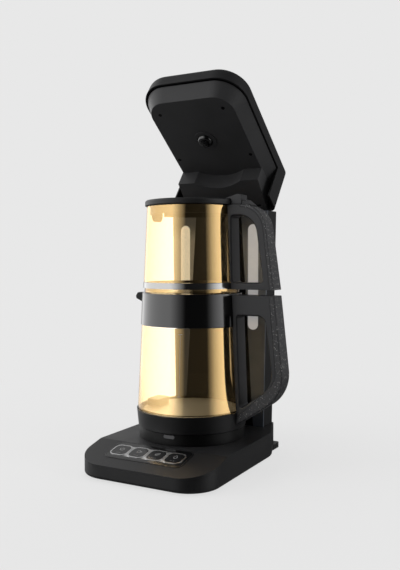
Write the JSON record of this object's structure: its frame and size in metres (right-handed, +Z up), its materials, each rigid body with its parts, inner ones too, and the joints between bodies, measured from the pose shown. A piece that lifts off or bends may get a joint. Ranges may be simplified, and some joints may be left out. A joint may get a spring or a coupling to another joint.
{
  "type": "automatic tea maker",
  "caption": "Automatic tea maker: glass teapot on a glass kettle, standing on a power base with a rear column and a hinged lid that showers hot water.",
  "frame": {"origin": "on the floor, under the axis that the kettle and the teapot share", "axes": "+Z up, -Y towards the control panel at the front, +X towards the pots' handles"},
  "size_m": [0.2377, 0.3015, 0.5351],
  "materials": {
    "black_plastic": "satin",
    "grey_plastic": "matte",
    "dark_plastic": "matte",
    "gloss_black": "gloss",
    "speckled_plastic": "matte",
    "pale_plastic": "satin",
    "lens_plastic": "gloss",
    "clear_glass": "clear",
    "steel": "polished",
    "key_metal": "satin",
    "rubber": "matte",
    "hose_rubber": "matte",
    "board_green": "satin",
    "cast_metal": "matte"
  },
  "bodies": {
    "stand": {"rubber_foot": "rubber", "base_housing": "black_plastic", "base_screws": "steel", "base_top_cover": "black_plastic", "control_panel": "gloss_black", "key_rings": "key_metal", "key_switches": "pale_plastic", "control_board": "board_green", "power_disc": "dark_plastic", "disc_lens": "lens_plastic", "power_connector": "dark_plastic", "docking_port": "rubber", "pump_body": "dark_plastic", "pump_motor": "cast_metal", "inlet_hose": "hose_rubber", "riser_hose": "hose_rubber", "power_board": "board_green", "cable_bushing": "rubber", "column_front_cover": "grey_plastic", "column_rear_shell": "black_plastic", "column_windows": "pale_plastic", "light_boards": "board_green", "column_screws": "steel", "hinge_barrel": "dark_plastic", "hinge_pins": "steel", "hinge_damper": "steel"},
    "key_1": {"key_1": "gloss_black"},
    "key_2": {"key_2": "gloss_black"},
    "key_3": {"key_3": "gloss_black"},
    "key_4": {"key_4": "gloss_black"},
    "lid": {"lid_cover": "black_plastic", "lid_inner_panel": "grey_plastic", "lid_screws": "steel", "nozzle_ring": "dark_plastic", "nozzle_dome": "gloss_black", "lid_hose": "hose_rubber"},
    "kettle": {"kettle_glass": "clear_glass", "kettle_base_ring": "black_plastic", "kettle_seal": "rubber", "heater_plate": "steel", "heating_element": "cast_metal", "thermostat": "cast_metal", "kettle_socket": "dark_plastic", "kettle_underside": "dark_plastic", "outlet_valve": "rubber", "outlet_hood": "dark_plastic", "kettle_collar": "gloss_black", "kettle_spout": "gloss_black", "kettle_handle_frame": "black_plastic", "kettle_handle_cover": "speckled_plastic", "kettle_handle_screws": "steel"},
    "teapot": {"teapot_glass": "clear_glass", "teapot_band": "steel", "spout_strainer": "steel", "teapot_handle_frame": "black_plastic", "teapot_handle_cover": "speckled_plastic", "lid_hinge_block": "speckled_plastic", "lid_hinge_pin": "steel"},
    "teapot_top": {"teapot_lid": "gloss_black", "thumb_lever": "black_plastic"}
  },
  "joints": [
    {"name": "lid_hinge", "type": "hinge", "parent": "stand", "child": "lid", "pos_m": [0, 0.113, 0.362], "axis": [-1, 0, 0], "range_deg": [-37.4, 0]},
    {"name": "kettle_lift", "type": "slide", "parent": "stand", "child": "kettle", "axis": [0, 0, 1], "range_m": [0, 0.01]},
    {"name": "teapot_lift", "type": "slide", "parent": "kettle", "child": "teapot", "axis": [0, 0, 1], "range_m": [0, 0.01]},
    {"name": "teapot_lid_hinge", "type": "hinge", "parent": "teapot", "child": "teapot_top", "pos_m": [0.084, 0, 0.356], "axis": [0, 1, 0], "range_deg": [0, 25]},
    {"name": "key_1_press", "type": "slide", "parent": "stand", "child": "key_1", "axis": [0, 0.2284, -0.9736], "range_m": [0, 0.0008], "stiffness_N_per_m": 300, "springref_m": -0.0005},
    {"name": "key_2_press", "type": "slide", "parent": "stand", "child": "key_2", "axis": [0, 0.2284, -0.9736], "range_m": [0, 0.0008], "stiffness_N_per_m": 300, "springref_m": -0.0005},
    {"name": "key_3_press", "type": "slide", "parent": "stand", "child": "key_3", "axis": [0, 0.2284, -0.9736], "range_m": [0, 0.0008], "stiffness_N_per_m": 300, "springref_m": -0.0005},
    {"name": "key_4_press", "type": "slide", "parent": "stand", "child": "key_4", "axis": [0, 0.2284, -0.9736], "range_m": [0, 0.0008], "stiffness_N_per_m": 300, "springref_m": -0.0005}
  ]
}
